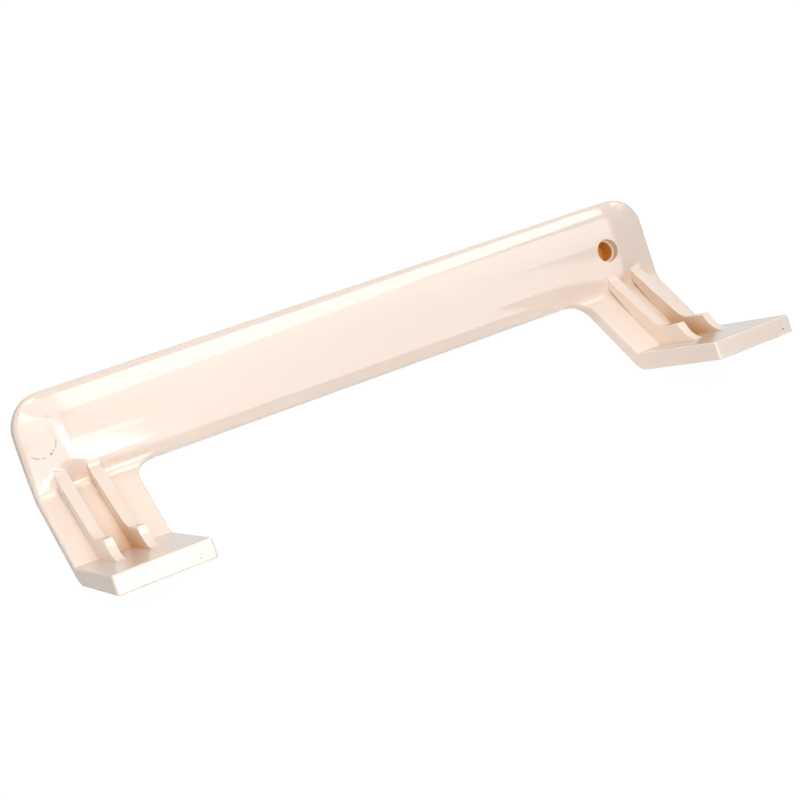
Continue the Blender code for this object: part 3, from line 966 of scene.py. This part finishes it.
def soft_box(name, use, level, centre, across, size, facing=None):
    """A rectangular light that either lights surfaces (diffuse) or only shows in gloss."""
    away = -Vector(facing).normalized() if facing else Vector(centre).normalized()
    side = Vector(across).normalized()
    side = (side - away * side.dot(away)).normalized()
    turn = Matrix((side, away.cross(side), away)).transposed().to_4x4()
    data = bpy.data.lights.new(f"{name}_{use}", "AREA")
    data.shape = "RECTANGLE"
    data.size = size[0]
    data.size_y = size[1]
    data.energy = level * pi * size[0] * size[1]
    light = add_object(f"{name}_{use}", data)
    light.matrix_world = Matrix.Translation(centre) @ turn
    light.visible_diffuse = use == "diffuse"
    light.visible_glossy = use == "gloss"
    light.visible_transmission = use == "diffuse"


def level_sheet(name, corners, height):
    """A thin level sheet with the given corners."""
    bm = bmesh.new()
    bm.faces.new([bm.verts.new((x, y, height)) for x, y in corners])
    mesh = bpy.data.meshes.new(name)
    bm.to_mesh(mesh)
    bm.free()
    return add_object(name, mesh)


def gloss_panel(name, height, level, corners):
    """A level bright panel with free corners that is only seen in gloss."""
    thing = level_sheet(name, corners, height)
    graph = MaterialGraph(name)
    graph.show(graph.glow(level))
    graph.nodes.remove(graph.shader)
    thing.data.materials.append(graph.material)
    thing.visible_camera = False
    thing.visible_diffuse = False
    thing.visible_transmission = False
    thing.visible_shadow = False


def floor_white():
    """White to the camera but for a faint shadow, and of a chosen level in the handle's gloss."""
    graph = MaterialGraph("floor_white")
    graph.shader.inputs["Base Color"].default_value = FLOOR_COLOUR
    graph.shader.inputs["Roughness"].default_value = FLOOR_ROUGHNESS
    graph.shader.inputs["Specular IOR Level"].default_value = 0.0
    rays = graph.nodes.new("ShaderNodeLightPath").outputs
    length = graph.nodes.new("ShaderNodeVectorMath")
    length.operation = "LENGTH"
    graph.links.new(graph.place, length.inputs[0])
    far = graph.ramp(length.outputs["Value"], *SHADOW_FADE, 1.0 - SHADOW_SHARE, 1.0, "LINEAR")
    share = graph.math("MULTIPLY", rays["Is Camera Ray"], far)
    surface = graph.mix_shaders(share, graph.shader.outputs["BSDF"], graph.glow(FLOOR_GLOW))
    across = graph.ramp(graph.x, *SHINE_CHANGE_X, FLOOR_SHINE_LEFT, FLOOR_SHINE_RIGHT, "LINEAR")
    front = graph.ramp(graph.y, *SHINE_CHANGE_Y, FLOOR_SHINE_FRONT, 1.0, "LINEAR")
    reflected = graph.glow(graph.math("MULTIPLY", across, front))
    graph.show(graph.mix_shaders(rays["Is Glossy Ray"], surface, reflected))
    return graph.material


def floor():
    half = FLOOR_HALF_SIZE
    thing = level_sheet("floor", ((-half, -half), (half, -half), (half, half), (-half, half)), 0.0)
    thing.data.materials.append(floor_white())


def camera():
    data = bpy.data.cameras.new("camera")
    data.lens = CAMERA_LENS
    data.sensor_width = CAMERA_SENSOR
    thing = add_object("camera", data)
    thing.location = CAMERA_PLACE
    thing.rotation_euler = [radians(angle) for angle in CAMERA_TURN]
    bpy.context.scene.camera = thing


def far_place(turn, rise, distance):
    """A place around the handle: degrees from the front to the right, degrees above the floor."""
    turn = radians(turn)
    rise = radians(rise)
    level = cos(rise) * distance
    return sin(turn) * level, -cos(turn) * level, sin(rise) * distance


def lights():
    """Soft boxes: the lamps only light the handle, the others are only seen in its gloss."""
    for name, turn, rise, distance, level in LAMPS:
        across = (cos(radians(turn)), sin(radians(turn)), 0)
        side = LAMP_SPREAD * distance
        soft_box(name, "diffuse", level, far_place(turn, rise, distance), across, (side, side))
    for panel in OVERHEAD_PANELS:
        gloss_panel(*panel)
    right = (1, 0, 0)
    back = (0, 1, 0)
    down = (0, 0, -1)
    soft_box("overhead_edge", "gloss", OVERHEAD_EDGE_LEVEL, OVERHEAD_EDGE_PLACE, right,
             OVERHEAD_EDGE_SIZE, down)
    for name, x, z, size, level in FRONT_BOXES:
        soft_box(name, "gloss", level, (x, FRONT_BOX_Y, z), right, size, back)
    front_left = far_place(FRONT_LEFT_TURN, FRONT_LEFT_RISE, FRONT_LEFT_DISTANCE)
    soft_box("front_left", "gloss", FRONT_LEFT_LEVEL, front_left, FRONT_LEFT_ACROSS, FRONT_LEFT_SIZE)


def main():
    for thing in list(bpy.data.objects):
        bpy.data.objects.remove(thing, do_unlink=True)
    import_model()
    part_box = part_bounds("handle")
    handle = fine_handle(part_box)
    handle.data.materials.clear()
    handle.data.materials.append(plastic())
    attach(handle, "root")
    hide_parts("handle")
    white_world()
    floor()
    lights()
    camera()
    bpy.context.scene.view_settings.view_transform = "Standard"


main()
